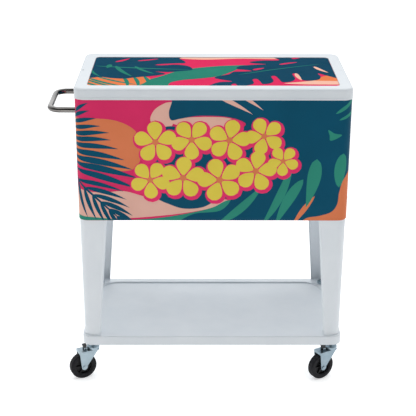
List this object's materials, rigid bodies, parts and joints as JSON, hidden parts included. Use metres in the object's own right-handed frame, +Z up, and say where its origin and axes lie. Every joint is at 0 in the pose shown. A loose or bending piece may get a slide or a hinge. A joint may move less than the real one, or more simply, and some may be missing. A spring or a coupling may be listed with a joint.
{
  "type": "cooler cart",
  "caption": "Insulated patio cooler on four legs with a hinged lid, towel-bar handle, drain, lower shelf and swivel casters.",
  "frame": {"origin": "on the floor under the middle of the whole cart, handle and drain cap included", "axes": "+Z up, +Y towards the lid hinges, +X towards the drain; the handle is on the -X side"},
  "size_m": [0.8629, 0.4215, 0.9029],
  "materials": {
    "printed_steel": "gloss print on steel",
    "white_steel": "white powder coat",
    "white_plastic": "satin moulded",
    "printed_plastic": "gloss print",
    "foam": "cut foam skin",
    "stainless": "polished",
    "zinc": "bright zinc plate",
    "black_plastic": "moulded",
    "black_steel": "black coat",
    "rubber": "soft",
    "tyre": "matt rubber",
    "nylon": "moulded"
  },
  "bodies": {
    "cabinet": {"outer_shell": "printed_steel", "bottom_pan": "white_steel", "inner_liner": "white_plastic", "foam_insulation": "foam", "leg_front_left": "white_steel", "leg_front_right": "white_steel", "leg_rear_left": "white_steel", "leg_rear_right": "white_steel", "leg_head_plates": "white_steel", "leg_foot_plates": "white_steel", "leg_bolts": "zinc", "lower_shelf": "white_steel", "shelf_corner_blocks": "nylon", "handle_tube": "stainless", "handle_collars": "stainless", "handle_inserts": "stainless", "handle_bolts": "zinc", "drain_body": "black_plastic", "drain_gasket": "rubber", "drain_nut": "black_plastic", "hinge_lower_leaves": "stainless", "hinge_lower_screws": "stainless", "caster_stems": "zinc", "caster_lock_nuts": "zinc", "caster_top_nuts": "zinc", "hinge_pins": "stainless"},
    "lid": {"lid_shell": "white_plastic", "lid_panel": "printed_plastic", "lid_inner_panel": "white_plastic", "lid_foam": "foam", "lid_seal": "rubber", "lid_vent_plug": "rubber", "hinge_upper_leaves": "stainless", "hinge_upper_screws": "stainless"},
    "drain_cap": {"drain_cap": "black_plastic"},
    "caster_front_left": {"caster_front_left_fork": "zinc", "caster_front_left_axle": "zinc"},
    "wheel_front_left": {"caster_front_left_hub": "black_plastic", "caster_front_left_tyre": "tyre"},
    "brake_front_left": {"caster_front_left_brake": "black_steel"},
    "caster_front_right": {"caster_front_right_fork": "zinc", "caster_front_right_axle": "zinc"},
    "wheel_front_right": {"caster_front_right_hub": "black_plastic", "caster_front_right_tyre": "tyre"},
    "brake_front_right": {"caster_front_right_brake": "black_steel"},
    "caster_rear_left": {"caster_rear_left_fork": "zinc", "caster_rear_left_axle": "zinc"},
    "wheel_rear_left": {"caster_rear_left_hub": "black_plastic", "caster_rear_left_tyre": "tyre"},
    "caster_rear_right": {"caster_rear_right_fork": "zinc", "caster_rear_right_axle": "zinc"},
    "wheel_rear_right": {"caster_rear_right_hub": "black_plastic", "caster_rear_right_tyre": "tyre"}
  },
  "joints": [
    {"name": "lid_hinge", "type": "hinge", "parent": "cabinet", "child": "lid", "pos_m": [0.03905, 0.2094, 0.8772], "axis": [-1, 0, 0], "range_deg": [0, 100]},
    {"name": "drain_cap_off", "type": "slide", "parent": "cabinet", "child": "drain_cap", "axis": [1, 0, 0], "range_m": [0, 0.025]},
    {"name": "swivel_front_left", "type": "hinge", "parent": "cabinet", "child": "caster_front_left", "pos_m": [-0.31695, -0.162, 0.0925], "axis": [0, 0, 1], "continuous": true},
    {"name": "spin_front_left", "type": "hinge", "parent": "caster_front_left", "child": "wheel_front_left", "pos_m": [-0.34776, -0.17637, 0.04], "axis": [-0.4226, 0.9063, 0], "continuous": true},
    {"name": "brake_front_left", "type": "hinge", "parent": "caster_front_left", "child": "brake_front_left", "pos_m": [-0.34142, -0.17341, 0.0955], "axis": [-0.4226, 0.9063, 0], "range_deg": [0, 10]},
    {"name": "swivel_front_right", "type": "hinge", "parent": "cabinet", "child": "caster_front_right", "pos_m": [0.39505, -0.162, 0.0925], "axis": [0, 0, 1], "continuous": true},
    {"name": "spin_front_right", "type": "hinge", "parent": "caster_front_right", "child": "wheel_front_right", "pos_m": [0.36591, -0.17951, 0.04], "axis": [-0.515, 0.8572, 0], "continuous": true},
    {"name": "brake_front_right", "type": "hinge", "parent": "caster_front_right", "child": "brake_front_right", "pos_m": [0.37191, -0.17591, 0.0955], "axis": [-0.515, 0.8572, 0], "range_deg": [0, 10]},
    {"name": "swivel_rear_left", "type": "hinge", "parent": "cabinet", "child": "caster_rear_left", "pos_m": [-0.31695, 0.162, 0.0925], "axis": [0, 0, 1], "continuous": true},
    {"name": "spin_rear_left", "type": "hinge", "parent": "caster_rear_left", "child": "wheel_rear_left", "pos_m": [-0.28614, 0.14763, 0.04], "axis": [-0.4226, -0.9063, 0], "continuous": true},
    {"name": "swivel_rear_right", "type": "hinge", "parent": "cabinet", "child": "caster_rear_right", "pos_m": [0.39505, 0.162, 0.0925], "axis": [0, 0, 1], "continuous": true},
    {"name": "spin_rear_right", "type": "hinge", "parent": "caster_rear_right", "child": "wheel_rear_right", "pos_m": [0.36591, 0.17951, 0.04], "axis": [0.515, 0.8572, 0], "continuous": true}
  ]
}
